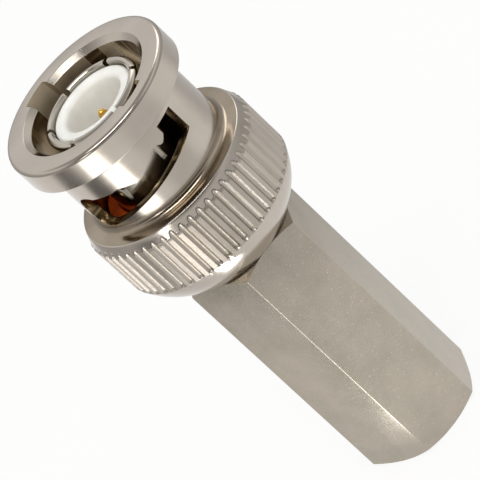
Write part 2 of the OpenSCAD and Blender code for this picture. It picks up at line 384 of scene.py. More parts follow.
# %% Rounding what was cut
def round_cut_edges(obj, width_mm, keep, least_deg=38, steps=2):
    """Bevels the sharp edges whose middle passes keep(radius, height), both in millimetres."""
    work = bmesh.new()
    work.from_mesh(obj.data)
    bmesh.ops.dissolve_degenerate(work, dist=2e-7, edges=work.edges)
    bmesh.ops.remove_doubles(work, verts=work.verts, dist=4e-6)
    chosen = []
    for edge in work.edges:
        middle = (edge.verts[0].co + edge.verts[1].co) / 2 / MM
        if len(edge.link_faces) != 2 or not keep(math.hypot(middle.x, middle.y), middle.z):
            continue
        if edge.calc_face_angle(0) > math.radians(least_deg):
            chosen.append(edge)
    rounding = {"offset": width_mm * MM, "segments": steps, "profile": 0.5, "clamp_overlap": True}
    bmesh.ops.bevel(work, geom=chosen, affect="EDGES", **rounding)
    work.to_mesh(obj.data)
    work.free()
    print(obj.name, "edges rounded", len(chosen))


# %% [markdown]
# ## Coupling nut: the section
#
# The nut is turned from bar: a collar at the front, a slimmer barrel with a fillet at its foot, a
# flat shoulder, a bevel, the grip, and a rounded rear. Inside, a wide bore ends in a ledge that
# carries the spring washers, and a smaller hub runs on the neck. The section is written as
# corners with a radius each, and the round parts as short formulas.

# %% Nut sizes
TOTAL_H = 37.4
COLLAR_R, COLLAR_Z = 6.91, 35.3
BARREL_R, BORE_R, BORE_MOUTH_R, BORE_CHAMFER = 5.65, 4.92, 5.34, 0.4
GRIP_R, KNURL_LOW, KNURL_HIGH = 7.319, 24.25, 28.4
GRIP_EDGE_R = GRIP_R - 0.05
SHOULDER_R, SHOULDER_Z = COLLAR_R + 0.02, 29.25
NUT_REAR, NUT_REAR_R = 21.16, 4.7
FILLET_R, FILLET_HEIGHT = 0.45, 0.6525
LEDGE_Z, HUB_R = 25.12, 3.81
DOME_STEPS, FILLET_STEPS = 14, 6


def dome(f):
    """Rounded rear of the nut, from the hub (f = 0) to the knurl (f = 1)."""
    radius = NUT_REAR_R + (GRIP_R - NUT_REAR_R) * f
    return radius, NUT_REAR + (KNURL_LOW - NUT_REAR) * (0.65 * f + 0.35 * f**4)


def fillet(f):
    """Hollow between shoulder (f = 0) and barrel (f = 1)."""
    swing = math.radians(90 * f)
    return BARREL_R + FILLET_R * (1 - math.sin(swing)), SHOULDER_Z + FILLET_HEIGHT * (1 - math.cos(swing))


print("nut", round(2 * GRIP_R, 2), "mm over the knurl,", round(TOTAL_H - NUT_REAR, 2), "mm long")

# %% Nut section: rear, collar and bore
rear = [dome(i / DOME_STEPS) for i in range(DOME_STEPS + 1)]
collar_and_bore = rounded(
    [
        (BARREL_R, 31.0),
        (BARREL_R, COLLAR_Z),
        (COLLAR_R, COLLAR_Z),
        (COLLAR_R, TOTAL_H),
        (BORE_MOUTH_R, TOTAL_H),
        (BORE_R, TOTAL_H - BORE_CHAMFER),
        (BORE_R, LEDGE_Z),
        (HUB_R, LEDGE_Z),
        (HUB_R, NUT_REAR),
        (NUT_REAR_R, NUT_REAR),
    ],
    [0, 0.06, 0.1, 0.32, 0.05, 0.05, 0, 0, 0.1, 0],
    5,
)
print("collar and bore", len(collar_and_bore), "points")

# %% Nut section: knurl rows and bevel
# The mesh needs close rows only where the grooves fade out: at the rear of the knurl and up the
# bevel in front of it.
RUN_OUT_ROWS, RUN_OUT_STEP = 8, 0.035
BEVEL_ROWS, BEVEL_STEP = 8, 0.06
bevel = rounded(
    [(GRIP_EDGE_R, KNURL_HIGH), (SHOULDER_R, SHOULDER_Z - 0.04), (COLLAR_R - 0.5, SHOULDER_Z)],
    [0, 0.1, 0],
    4,
)
bevel_drop = (GRIP_EDGE_R - bevel[1][0]) / (bevel[1][1] - KNURL_HIGH)
bevel[1:1] = [
    (GRIP_EDGE_R - bevel_drop * BEVEL_STEP * i, KNURL_HIGH + BEVEL_STEP * i) for i in range(1, BEVEL_ROWS + 1)
]
knurl_rows = [KNURL_LOW + 0.02 + RUN_OUT_STEP * i for i in range(1, RUN_OUT_ROWS + 1)]
knurl_rows += [KNURL_LOW + 0.5 + 0.6 * i for i in range(6)]
knurl_rows += [KNURL_HIGH - 0.3, KNURL_HIGH - 0.08]
hollow = [fillet(i / FILLET_STEPS) for i in range(FILLET_STEPS + 1)]
section = rear + [(GRIP_R, z) for z in knurl_rows] + bevel + hollow + collar_and_bore[:-1]
print("nut section rows", len(section))

# %% [markdown]
# ## Coupling nut: the knurled blank
#
# The grip carries a straight knurl, pressed in by a wheel, with round-bottomed grooves and flat
# lands. A groove is only a dip in the radius, so it is made while the section is spun, and it
# runs out by itself where the bevel dips below it. The grip gets twelve columns for each groove
# and the plain rings a third as many, with triangles where the two meet, so the mesh stays light.

# %% Knurl grooves
GROOVES, GROOVE_PHASE = 55, 0.8
GROOVE_W, GROOVE_DEPTH, GROOVE_RUN_OUT = 0.48, 0.2, 0.27


def groove_dip(angle_deg, height):
    """How far the knurl pushes the surface in at this angle and height."""
    pitch = 360 / GROOVES
    offset = (angle_deg - GROOVE_PHASE + pitch / 2) % pitch - pitch / 2
    across = abs(math.radians(offset) * GRIP_R) / (GROOVE_W / 2)
    along = max((KNURL_LOW + GROOVE_RUN_OUT - height) / GROOVE_RUN_OUT, 0.0)
    reach = math.hypot(across, along)
    if reach >= 1 or height < KNURL_LOW:
        return 0.0
    return GROOVE_DEPTH * (1 - reach**2)


print("groove depth at its middle", groove_dip(GROOVE_PHASE, 26))

# %% Nut blank
FINE, COARSE = GROOVES * 12, GROOVES * 4
KNURL_FIRST = len(rear) - 1
KNURL_LAST = len(rear) + len(knurl_rows) + BEVEL_ROWS + 2


def nut_rings():
    """Corners of the nut ring by ring, and each ring's list of corner numbers."""
    verts, rings = [], []
    for i, (radius, height) in enumerate(section):
        count = FINE if KNURL_FIRST <= i <= KNURL_LAST else COARSE
        rings.append(list(range(len(verts), len(verts) + count)))
        for c in range(count):
            angle = TAU * c / count
            r = radius
            if KNURL_FIRST < i < KNURL_LAST:
                r = min(radius, GRIP_R - groove_dip(math.degrees(angle), height))
            verts.append((r * math.cos(angle), r * math.sin(angle), height))
    return verts, rings


def ring_faces(low, high):
    """Faces between two rings, also where one has three times as many corners."""
    if len(low) == len(high):
        count = len(low)
        return [(low[c], low[(c + 1) % count], high[(c + 1) % count], high[c]) for c in range(count)]
    fine, coarse = (low, high) if len(low) > len(high) else (high, low)
    faces = []
    for c in range(COARSE):
        here, there = coarse[c], coarse[(c + 1) % COARSE]
        f = [fine[(3 * c + k) % FINE] for k in range(4)]
        faces += [(here, f[0], f[1]), (here, f[1], f[2]), (here, f[2], there), (there, f[2], f[3])]
    return faces


nut_verts, nut_ring_list = nut_rings()
nut_faces = []
for low, high in zip(nut_ring_list, nut_ring_list[1:] + nut_ring_list[:1]):
    nut_faces += ring_faces(low, high)
nut = mesh_object("coupling_nut_skin", nut_verts, nut_faces)
print("nut blank", len(nut.data.vertices), "vertices")

# %% [markdown]
# ## Coupling nut: channels and cam windows
#
# Two channels let the studs of the mating socket in, and each leads to a cam that pulls the
# socket home in a quarter turn. The cam has broken through the thin barrel, so it shows as a
# window: square where the channel arrives, with a ragged lip of thin metal beside it, then a
# narrowing run to the round locking hole. Knife cuts in the mesh would be hard to control, so the
# openings are subtracted: every cutter is a band that follows the barrel, given by its lower and
# upper edge at a row of angles from the channel.

# %% Cam sizes
ENTRY_DEG = -77.5
CHANNEL_W, CHANNEL_R, CHANNEL_MOUTH_R, CHANNEL_RAMP = 2.2, 5.48, 5.9, 2.0
WINDOW_TOP, ENTRY_HALF = 34.3, 13.0
CAM_Z, CAM_SLOPE, CAM_W = 31.78, 0.0208, 2.15
LOCK_TURN, LOCK_Z, LOCK_R = 88.4, 31.47, 1.5
# upper edge of the window as (degrees from the channel, height)
LIP = [
    (-90, 32.8), (-62, 32.8), (-57, 32.93), (-50, 32.7), (-42, 32.5), (-36.5, 32.63), (-30, 32.94),
    (-23.1, 33.27), (-19.5, 33.5), (-14.5, 33.5), (-12.0, 33.24), (-9.9, 33.2), (-7.4, 33.36), (-5, 33.6),
]  # fmt: skip
LIP_END = -4.99


def between(table, x):
    """Straight-line reading of a table of (x, y)."""
    for (x0, y0), (x1, y1) in zip(table, table[1:]):
        if x <= x1:
            return y0 + (y1 - y0) * min(max((x - x0) / (x1 - x0), 0), 1)
    return table[-1][1]


print("lip at the middle of the window", round(between(LIP, -45), 2))


# %% Window edges
def cam_low(a):
    """Lower edge of the cam, which rises towards the channel."""
    return CAM_Z + CAM_SLOPE * a


def lock_edge(a, sign):
    """Lower (sign -1) or upper (sign 1) edge of the locking hole, or None beside it."""
    across = math.radians(a + LOCK_TURN) * BARREL_R
    if abs(across) >= LOCK_R:
        return None
    return LOCK_Z + sign * math.sqrt(LOCK_R**2 - across**2)


def window_edges(a):
    """Lower and upper edge of the open window at angle a from the channel."""
    hole_low, hole_high = lock_edge(a, -1), lock_edge(a, 1)
    if a <= -LOCK_TURN:
        return hole_low, hole_high
    low = cam_low(a)
    high = between(LIP, a) if a < LIP_END else WINDOW_TOP
    if hole_low is not None:
        low, high = min(low, hole_low), max(high, hole_high)
    return low, high


def path_edges(a):
    """Lower and upper edge of the cam path behind the lip, cut from inside only."""
    return cam_low(a) + 0.6, cam_low(a) + CAM_W


# %% Angles to cut at
def spread(low, high, step):
    """Even values from low to high, at most step apart."""
    count = max(1, math.ceil((high - low) / step))
    return [low + (high - low) * i / count for i in range(count + 1)]


def window_marks():
    """Angles for the window: close round the hole and at the lip's end, wider along the run."""
    half_hole = math.degrees(LOCK_R / BARREL_R)
    marks = [-LOCK_TURN - half_hole * math.cos(k * math.pi / 28) for k in range(15)]
    marks[0] += 0.03
    marks += spread(-LOCK_TURN + 1.1, -LOCK_TURN + 15.4, 1.1)
    marks += spread(-72, -20, 1.7)
    marks += spread(-19.4, -5.0, 0.8)
    marks += [-4.95] + spread(-4, ENTRY_HALF, 1.7)
    marks = sorted(marks)
    return [m for i, m in enumerate(marks) if i == 0 or m - marks[i - 1] > 0.03]


print("window cut at", len(window_marks()), "angles")


# %% Band cutter
def band(name, marks, edges, inner_r, outer_r, turn_deg):
    """Closed solid that follows the barrel between inner_r and outer_r."""
    verts, faces = [], []
    for a in marks:
        low, high = edges(a)
        swing = math.radians(turn_deg + a)
        for radius, height in ((inner_r, low), (outer_r, low), (outer_r, high), (inner_r, high)):
            verts.append((radius * math.cos(swing), radius * math.sin(swing), height))
    for i in range(len(marks) - 1):
        for k in range(4):
            m = (k + 1) % 4
            faces.append((4 * i + k, 4 * i + m, 4 * i + 4 + m, 4 * i + 4 + k))
    end = 4 * (len(marks) - 1)
    faces += [(0, 1, 2, 3), (end + 3, end + 2, end + 1, end)]
    return mesh_object(name, verts, faces)


# %% Channel cutter
CHANNEL_BACK = 3.9
# a hair less than the cam path, so that no two cutters share a surface
CHANNEL_GAP = 0.012


def channel_cutter(turn_deg):
    """Straight groove for a stud, deeper towards its mouth."""
    verts, faces = [], []
    across = [CHANNEL_W * (i / 8 - 0.5) for i in range(9)]
    size = len(across) + 2
    spin = Matrix.Rotation(math.radians(turn_deg), 3, "Z")
    straight = CHANNEL_R - CHANNEL_GAP
    for height, reach in (
        (CAM_Z + 0.9, straight),
        (TOTAL_H - CHANNEL_RAMP, straight),
        (TOTAL_H + 0.05, CHANNEL_MOUTH_R),
    ):
        ring = [(math.sqrt(reach**2 - y * y), y) for y in across]
        ring = [(CHANNEL_BACK, across[0])] + ring + [(CHANNEL_BACK, across[-1])]
        verts += [tuple(spin @ Vector((x, y, height))) for x, y in ring]
    for level in range(2):
        low, high = level * size, (level + 1) * size
        for k in range(size):
            m = (k + 1) % size
            faces.append((low + k, low + m, high + m, high + k))
    faces += [tuple(reversed(range(size))), tuple(2 * size + k for k in range(size))]
    return mesh_object("channel_cutter", verts, faces)


# %% Cut the nut
cutters = []
for turn in (ENTRY_DEG, ENTRY_DEG + 180):
    cutters.append(band("window_cutter", window_marks(), window_edges, 4.4, 6.3, turn))
    cutters.append(band("path_cutter", spread(-54, -2, 1.7), path_edges, 4.4, CHANNEL_R, turn))
    cutters.append(channel_cutter(turn))
cut(nut, cutters)
round_cut_edges(nut, 0.045, lambda r, z: 29.8 < z < 34.6 and 4.8 < r < 5.75)
print("nut after cuts", len(nut.data.vertices), "vertices")

# %% [markdown]
# ## Coupling nut: finishes
#
# One nut shows five slots: turned plate outside, duller plate on the knurl, a step at the shoulder
# painted darker as a dark reflection, and thin, brownish plate in the bore, painted darker still
# behind the windows as shade. Each face takes its slot from where it lies. Cutting leaves long thin
# faces, whose averaged normals would show as smudges in the reflections, so the straight walls and
# the bore's chamfer get the exact normals of a cylinder or a cone.

# %% Nut finishes
NUT_FINISHES = [NUT_NICKEL, BORE_NICKEL, KNURL_NICKEL, BORE_PAINTED_SHADE_NICKEL, STEP_PAINTED_DARK_NICKEL]
PLAIN, BORE, KNURL, PAINTED_SHADE_BORE, PAINTED_DARK_STEP = range(len(NUT_FINISHES))


def nut_finish(middle, rise):
    """Slot for a face of the nut, from its middle in millimetres and how far it faces up."""
    in_collar = middle.z > COLLAR_Z
    inside = math.hypot(middle.x, middle.y) < (CHANNEL_MOUTH_R if in_collar else BARREL_R - 0.06)
    # painted shade: the bore behind the windows takes the darker copy
    if inside and KNURL_LOW < middle.z < WINDOW_TOP:
        return PAINTED_SHADE_BORE
    if inside and middle.z > KNURL_LOW and not (in_collar and rise > 0.3):
        return BORE
    if not inside and KNURL_LOW < middle.z < KNURL_HIGH:
        return KNURL
    # painted dark reflection: the shoulder step takes the darker copy
    if not inside and SHOULDER_Z - 0.02 < middle.z < SHOULDER_Z + FILLET_HEIGHT + 0.02:
        return PAINTED_DARK_STEP
    return PLAIN


shade(nut, NUT_NICKEL)
for material in NUT_FINISHES[1:]:
    nut.data.materials.append(material)
for face in nut.data.polygons:
    face.material_index = nut_finish(face.center / MM, face.normal.z)
print("nut slots", [slot.name for slot in nut.material_slots])


# %% Exact normals on the nut's walls
def even_walls(obj, lowest):
    """Exact normals for the upright walls above a height, and for the chamfer of the bore."""
    data = obj.data
    normals = [(0.0, 0.0, 0.0)] * len(data.loops)
    for face in data.polygons:
        out = Vector((face.center.x, face.center.y, 0))
        reach = out.length / MM
        out.normalize()
        lean, rise = out.dot(face.normal), face.normal.z
        upright = abs(rise) < 0.03
        chamfer = BORE_R < reach < BORE_MOUTH_R and 0.3 < rise < 0.9 and lean < -0.3
        turned = lean**2 + rise**2 > 0.98
        if face.center.z / MM < lowest or not turned or not (upright or chamfer):
            continue
        for k in face.loop_indices:
            spot = data.vertices[data.loops[k].vertex_index].co
            normals[k] = Vector((spot.x, spot.y, 0)).normalized() * lean + Vector((0, 0, rise))
    data.normals_split_custom_set(normals)


even_walls(nut, 29.9)
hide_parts("coupling_nut")
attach(nut, "coupling_nut")
print("nut", len(nut.data.polygons), "faces")

# %% [markdown]
# ## Hex body
#
# The body is cut from hexagonal bar, with both ends chamfered so the corners are knocked off in
# an arc. A six-sided cylinder with bevels would miss that arc. Here each upright line of the mesh
# meets the chamfer cone at its own height, which draws it exactly. Inside is a coarse thread that
# grips the cable jacket as the plug is twisted on: a ridge whose place moves round the bore with
# height.

# %% Hex sizes and outline
HEX_AF, HEX_LEN = 9.15, 21.1
HEX_FLAT_R = HEX_AF / 2
HEX_R = HEX_FLAT_R / math.cos(math.pi / 6)
CHAMFER = math.tan(math.radians(30))
CORNER_R, CORNER_STEPS, FLAT_STEPS = 0.1, 8, 16


def hex_outline():
    """Points round the hexagon: an arc on each corner, and even steps along each flat."""
    centre = HEX_R - CORNER_R / math.cos(math.pi / 6)
    arc = []
    for i in range(CORNER_STEPS + 1):
        swing = math.radians(60 * i / CORNER_STEPS - 30)
        arc.append(Vector((centre + CORNER_R * math.cos(swing), CORNER_R * math.sin(swing))))
    points = []
    for k in range(6):
        here = Matrix.Rotation(math.radians(60 * k), 2)
        there = Matrix.Rotation(math.radians(60 * (k + 1)), 2)
        start, end = here @ arc[-1], there @ arc[0]
        points += [here @ p for p in arc]
        points += [start.lerp(end, i / FLAT_STEPS) for i in range(1, FLAT_STEPS)]
    return points


outline = hex_outline()
print("hex outline", len(outline), "points")

# %% Outer skin of the hex
END_EASE = 0.03


def hex_column(x, y):
    """One upright line of the outer skin, from the cable end to the front."""
    radius = math.hypot(x, y)
    ux, uy = x / radius, y / radius
    drop = (radius - HEX_FLAT_R) * CHAMFER
    end_r = min(radius, HEX_FLAT_R - END_EASE)
    low = [
        (ux * end_r, uy * end_r, 0.0),
        (ux * (end_r + END_EASE), uy * (end_r + END_EASE), 0.012),
        (0.9975 * x, 0.9975 * y, max(drop, 0.02)),
        (x, y, drop + 0.05),
    ]
    middle = [(x, y, HEX_LEN / 3), (x, y, 2 * HEX_LEN / 3)]
    return low + middle + [(px, py, HEX_LEN - pz) for px, py, pz in reversed(low)]


columns = [hex_column(x, y) for x, y in outline]
print("hex skin", len(columns), "columns of", len(columns[0]))

# %% Bore and grip thread of the hex
CABLE_R, CABLE_DEPTH, CABLE_LEAD, TAIL_R = 3.1, 14.2, 0.55, 3.48
BORE_FOOT = CABLE_DEPTH - 0.5
THREAD_PITCH, THREAD_DEPTH, THREAD_HALF, THREAD_ROW = 1.27, 0.28, 0.32, 0.11


def bore_levels():
    """Radius and height of each ring of the bore, from the cable mouth to the front."""
    levels = [(CABLE_R + CABLE_LEAD, 0.0)]
    z = CABLE_LEAD
    while z < BORE_FOOT:
        levels.append((CABLE_R, z))
        z += THREAD_ROW
    return levels + [(CABLE_R, BORE_FOOT), (TAIL_R, BORE_FOOT), (TAIL_R, HEX_LEN)]


def bore_point(x, y, radius, height):
    """A point of the bore in the direction of (x, y), pushed out where a thread groove passes."""
    angle = math.atan2(y, x)
    if radius == CABLE_R and CABLE_LEAD + 0.2 < height < BORE_FOOT - 0.2:
        phase = (height / THREAD_PITCH - angle / TAU) % 1.0
        radius += THREAD_DEPTH * max(0.0, 1 - abs(phase - 0.5) / THREAD_HALF)
    return radius * math.cos(angle), radius * math.sin(angle), height


print("bore", len(bore_levels()), "rings")


# %% Hex body mesh
def hex_body():
    """Outer skin, bore and the two end faces between them."""
    verts = [point for column in columns for point in column]
    count, tall = len(columns), len(columns[0])
    bore = len(verts)
    levels = bore_levels()
    for radius, height in levels:
        verts += [bore_point(x, y, radius, height) for x, y in outline]
    last = bore + (len(levels) - 1) * count
    faces = []
    for c in range(count):
        d = (c + 1) % count
        skin, next_skin = c * tall, d * tall
        for k in range(tall - 1):
            faces.append((skin + k, next_skin + k, next_skin + k + 1, skin + k + 1))
        for ring in range(bore, last, count):
            faces.append((ring + c, ring + count + c, ring + count + d, ring + d))
        faces.append((skin, bore + c, bore + d, next_skin))
        faces.append((skin + tall - 1, next_skin + tall - 1, last + d, last + c))
    return mesh_object("hex_body_skin", verts, faces)


hexagon = hex_body()
shade(hexagon, HEX_NICKEL, 25)
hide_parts("hex_body")
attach(hexagon, "cable_body")
print("hex body", len(hexagon.data.polygons), "faces")

# %% [markdown]
# ## Slotted shell
#
# The outer contact is one turned piece: tail, neck, flange and a thin tube. Six slits divide the
# tube into fingers that spring inside the mating socket, and each finger swells near its tip. On
# the real piece a thin saw cuts the slits after turning, and the mesh is made in the same order.

# %% Shell section
TIP_Z, FLANGE_TOP, FLANGE_R, FLANGE_LOW = 36.69, 28.1, 4.78, 27.1
FINGER_R, BULGE_R, FINGER_BORE = 3.78, 4.06, 3.42
NECK_R, SHANK_R, TAIL_Z = 3.75, 2.6, 14.5
TUBE_FLOOR = FLANGE_TOP + 0.35
shell_section = rounded(
    [
        (SHANK_R, TAIL_Z), (TAIL_R - 0.03, TAIL_Z),
        (TAIL_R - 0.03, HEX_LEN + 0.02), (NECK_R, HEX_LEN + 0.02),
        (NECK_R, FLANGE_LOW), (FLANGE_R, FLANGE_LOW), (FLANGE_R, FLANGE_TOP), (FINGER_R + 0.02, FLANGE_TOP),
        (FINGER_R - 0.02, TIP_Z - 1.6), (FINGER_R + 0.07, TIP_Z - 1.0), (BULGE_R - 0.05, TIP_Z - 0.62),
        (BULGE_R, TIP_Z - 0.4), (BULGE_R - 0.07, TIP_Z - 0.16), (FINGER_R - 0.03, TIP_Z),
        (FINGER_BORE + 0.1, TIP_Z), (FINGER_BORE, TIP_Z - 0.12),
        (FINGER_BORE, TUBE_FLOOR), (SHANK_R, TUBE_FLOOR),
    ],
    [0.05, 0.1, 0, 0.1, 0.05, 0.05, 0.08, 0.15, 1.0, 0.5, 0.3, 0.3, 0.25, 0.04, 0.03, 0.05, 0.05, 0.05],
    3,
)  # fmt: skip
shell = lathe("outer_contact_skin", shell_section, 192)
print("shell turned", len(shell.data.vertices), "vertices")


# %% Saw the slits
def saw_cut(x_from, x_to, width, z_from, z_to, turn_deg=0):
    """Thin upright block, turned round the axis, for cutting a slit."""
    spin = Matrix.Rotation(math.radians(turn_deg), 3, "Z")
    half = width / 2
    plan = ((x_from, -half), (x_to, -half), (x_to, half), (x_from, half))
    verts = [tuple(spin @ Vector((x, y, z))) for z in (z_from, z_to) for x, y in plan]
    faces = [(3, 2, 1, 0), (4, 5, 6, 7), (0, 1, 5, 4), (1, 2, 6, 5), (2, 3, 7, 6), (3, 0, 4, 7)]
    return mesh_object("saw_cut", verts, faces)


SLITS, SLIT_W, SLIT_LEN = 6, 0.36, 5.35
slit_foot = TIP_Z - SLIT_LEN
cut(shell, [saw_cut(3.0, 4.6, SLIT_W, slit_foot, TIP_Z + 0.5, 30 + 360 / SLITS * i) for i in range(SLITS)])
round_cut_edges(shell, 0.03, lambda r, z: z > slit_foot - 0.1 and r > 3.3, 50)
shade(shell, SHELL_NICKEL)
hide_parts("outer_contact")
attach(shell, "cable_body")
print("shell", len(shell.data.polygons), "faces")

# %% [markdown]
# ## Front insulator
#
# The front insulator is a machined cup. Its rim is well rounded, and the soft line of light on it
# separates the white cup from the bright fingers round it. Below the cup a narrower stem holds
# the pin, and it all is one turned section.

# %% Front insulator
INS_R, INS_TOP, CUP_R, CUP_FLOOR = 3.36, 36.46, 2.4, 30.9
STEM_R, STEM_END, PIN_SEAT_R = 2.55, 25.1, 1.08
cup_section = rounded(
    [
        (PIN_SEAT_R, STEM_END), (STEM_R, STEM_END), (STEM_R, TUBE_FLOOR + 0.03), (INS_R, TUBE_FLOOR + 0.03),
        (INS_R, INS_TOP), (CUP_R, INS_TOP), (CUP_R, CUP_FLOOR), (PIN_SEAT_R, CUP_FLOOR),
    ],
    [0, 0.05, 0.05, 0.05, 0.3, 0.42, 0.35, 0.03],
    7,
)  # fmt: skip
cup = shade(lathe("front_insulator_skin", cup_section, 160), POLYMER)
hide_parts("front_insulator")
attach(cup, "cable_body")
print("front insulator", len(cup.data.polygons), "faces")

# %% [markdown]
# ## Pin
#
# The centre contact is a gold-plated pin with a blunt nose, which stops a little below the rim of
# the cup. A collar further down keeps it from pulling out, and its rear end is a slotted socket
# for the conductor of the cable. The nose is a profile of its own, as it is the part that shows.

# %% Centre contact
PIN_R, PIN_TOP, PIN_SHANK_R, PIN_COLLAR_R = 0.675, 35.56, 1.05, 1.35
SOCKET_Z, SOCKET_R, SOCKET_BORE, SOCKET_DEPTH = 17.4, 0.95, 0.48, 4.2
pin_section = rounded(
    [
        (0, PIN_TOP - 0.08), (0.07, PIN_TOP), (0.2 * PIN_R, PIN_TOP), (0.36 * PIN_R, PIN_TOP - 0.1),
        (0.72 * PIN_R, PIN_TOP - 0.7), (PIN_R, PIN_TOP - 1.6), (PIN_R, CUP_FLOOR), (PIN_SHANK_R, CUP_FLOOR),
        (PIN_SHANK_R, 25.6), (PIN_COLLAR_R, 25.6), (PIN_COLLAR_R, 24.6), (SOCKET_R, 24.6),
        (SOCKET_R, SOCKET_Z), (SOCKET_BORE, SOCKET_Z), (SOCKET_BORE, SOCKET_Z + SOCKET_DEPTH),
        (0, SOCKET_Z + SOCKET_DEPTH + 0.1),
    ],
    [0, 0.01, 0.06, 0.2, 0.8, 0.8, 0.02, 0.02, 0.03, 0.05, 0.05, 0.03, 0.12, 0.15, 0.05, 0],
    4,
)  # fmt: skip
pin = lathe("center_contact_skin", pin_section, 72, closed=False)
cut(pin, [saw_cut(-1.4, 1.4, 0.24, SOCKET_Z - 0.3, SOCKET_Z + 0.8 * SOCKET_DEPTH)])
shade(pin, GOLD)
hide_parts("center_contact")
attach(pin, "cable_body")
print("pin", len(pin.data.polygons), "faces")

# %% [markdown]
# ## Gasket
#
# The gasket is a plain moulded ring that lies on the flange at the foot of the fingers and seals
# against the mating socket. Its edges are rounder than those of the metal.

# %% Gasket
GASKET_IN, GASKET_OUT, GASKET_LOW, GASKET_TOP = 3.88, 4.8, FLANGE_TOP + 0.02, 29.15
gasket_section = rounded(
    [(GASKET_IN, GASKET_LOW), (GASKET_OUT, GASKET_LOW), (GASKET_OUT, GASKET_TOP), (GASKET_IN, GASKET_TOP)],
    [0.08, 0.1, 0.16, 0.14],
    5,
)
gasket = shade(lathe("gasket_skin", gasket_section, 128), SILICONE)
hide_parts("gasket")
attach(gasket, "cable_body")
print("gasket", len(gasket.data.polygons), "faces")

# %% [markdown]
# ## Wave washer
#
# A ring of spring strip, bent in three waves, pulls the nut back after the plug is locked. As the
# nut slides forward, the real ring is pressed flat between its two washers; here it is made once,
# in its free waved shape.

# %% Wave washer
WAVE_IN, WAVE_OUT, WAVE_TOP, WAVE_H, WAVE_T = 3.84, 4.78, 26.76, 1.3, 0.25
WAVES, WAVE_STEPS = 3, 144


def wave_ring():
    """Flat spring ring bent in waves round the axis."""
    verts, faces = [], []
    for i in range(WAVE_STEPS):
        angle = TAU * i / WAVE_STEPS
        low = WAVE_TOP - WAVE_H + (WAVE_H - WAVE_T) / 2 * (1 + math.cos(WAVES * angle))
        high = low + WAVE_T
        for radius, height in ((WAVE_IN, low), (WAVE_OUT, low), (WAVE_OUT, high), (WAVE_IN, high)):
            verts.append((radius * math.cos(angle), radius * math.sin(angle), height))
    for i in range(WAVE_STEPS):
        here, there = 4 * i, 4 * ((i + 1) % WAVE_STEPS)
        for k in range(4):
            m = (k + 1) % 4
            faces.append((here + k, here + m, there + m, there + k))
    return mesh_object("wave_washer_skin", verts, faces)


wave = wave_ring()
run_modifier(wave, "BEVEL", width=0.03 * MM, segments=2, limit_method="ANGLE")
shade(wave, SPRING)
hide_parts("wave_washer")
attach(wave, "cable_body")
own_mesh(wave)

# %% [markdown]
# ## Pieces that keep the frame's shape
#
# The rear insulator and the two flat washers are plain and out of sight, so the engineering
# solids stay as they are and only take their finish.

# %% Finishes on the kept solids
KEPT_FINISHES = {
    "rear_insulator": POLYMER,
    "front_washer": SHELL_NICKEL,
    "rear_washer": SHELL_NICKEL,
}
for name, material in KEPT_FINISHES.items():
    slots = NODES[name].data.materials
    if not slots:
        slots.append(material)
    for index in range(len(slots)):
        slots[index] = material
    print("kept", name)

# %% [markdown]
# ## Floor
#
# Bright metal shows whatever stands round it, so the surroundings matter as much as the lamps.
# The plug stands on wide pale paper. The camera sees it white, with the plug's soft shadow, and
# the metal sees it with grey cards laid round the plug, which put tone on the upright walls. The
# kind of ray tells the two apart, and neither changes the light that falls on the plug.


# %% Kinds of ray
def ray_kinds(tree, *kinds):
    """1 where the ray is any of the named kinds, such as Is Camera Ray."""
    path = node(tree, "ShaderNodeLightPath")
    total = path.outputs[kinds[0]]
    for kind in kinds[1:]:
        inputs = {0: total, 1: path.outputs[kind]}
        total = node(tree, "ShaderNodeMath", inputs, operation="MAXIMUM").outputs[0]
    return total


def swap(tree, kinds, other, seen):
    """Shows the shader seen to the named kinds of ray, and other to the rest."""
    inputs = {0: ray_kinds(tree, *kinds), 1: other.outputs[0], 2: seen.outputs[0]}
    return node(tree, "ShaderNodeMixShader", inputs)


MIRRORED = ("Is Glossy Ray", "Is Transmission Ray")
print("mirrored rays", MIRRORED)

# %% Paper
PAPER_SHARE_LIT = 0.88
# Grey cards as the metal sees them: middle x and y, where the fade starts and ends, and its two
# levels. The one in the middle of the floor dims the paper beyond 86 mm instead.
CARDS = [
    (-64, 6, 14, 26, 0.16, 1.0),
    (70, 52, 36, 66, 0.66, 1.0),
    (14, -66, 24, 44, 0.78, 1.0),
    (0, 0, 86, 118, 1.0, 0.5),
    (-18, 6, 6, 30, 0.84, 1.0),
    (26, 23, 8, 34, 0.9, 1.0),
]


def card_level(tree):
    """How bright the metal sees each point of the paper."""
    spot = node(tree, "ShaderNodeTexCoord").outputs["Object"]
    level = 1.0
    for x, y, start, end, inner, outer in CARDS:
        away = node(tree, "ShaderNodeVectorMath", {0: spot, 1: (x * MM, y * MM, 0)}, operation="DISTANCE")
        reach = {"From Min": start * MM, "From Max": end * MM, "To Min": inner, "To Max": outer}
        fade = node(tree, "ShaderNodeMapRange", {"Value": away.outputs["Value"], **reach})
        level = node(tree, "ShaderNodeMath", {0: level, 1: fade.outputs[0]}, operation="MULTIPLY").outputs[0]
    return level


def backdrop_paper():
    """Matt white paper: cards for the metal, white with a shadow for the camera."""
    made, tree = new_material("paper_backdrop")
    paper = node(tree, "ShaderNodeBsdfDiffuse", {"Color": linear("F4F3F0")})
    white = node(tree, "ShaderNodeEmission", {"Color": grey(1.0), "Strength": 1.0})
    cards = node(tree, "ShaderNodeEmission", {"Color": grey(1.0), "Strength": card_level(tree)})
    lit_share = {0: PAPER_SHARE_LIT, 1: paper.outputs[0], 2: white.outputs[0]}
    shadowed = node(tree, "ShaderNodeMixShader", lit_share)
    seen = swap(tree, ["Is Camera Ray"], paper, shadowed)
    both = swap(tree, MIRRORED, seen, cards)
    node(tree, "ShaderNodeOutputMaterial", {"Surface": both.outputs[0]})
    return made


